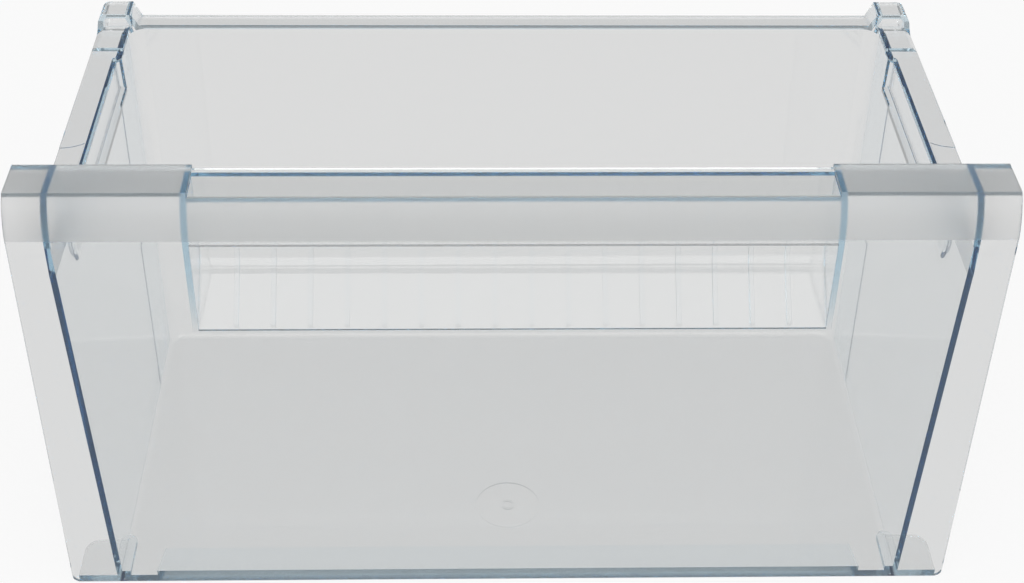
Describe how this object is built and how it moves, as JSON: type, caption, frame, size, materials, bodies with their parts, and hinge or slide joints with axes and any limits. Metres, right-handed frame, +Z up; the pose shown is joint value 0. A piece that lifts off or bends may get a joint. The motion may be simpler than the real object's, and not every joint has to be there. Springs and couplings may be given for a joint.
{
  "type": "freezer drawer",
  "caption": "Clear one-piece freezer drawer: open tub with side runners and stop ears, and a tall front with a finger pocket under its rolled top edge.",
  "frame": {"origin": "centre of the drawer's box, on the flat underside of its floor", "axes": "+X across the front towards the right seen from the front, +Y from the front to the back, +Z up"},
  "size_m": [0.45, 0.2392, 0.2365],
  "materials": {
    "clear_plastic": "clear polystyrene with a slight blue tint, polished, satin on the rolled front edge"
  },
  "bodies": {
    "root": {"drawer_body": "clear_plastic"}
  },
  "joints": []
}
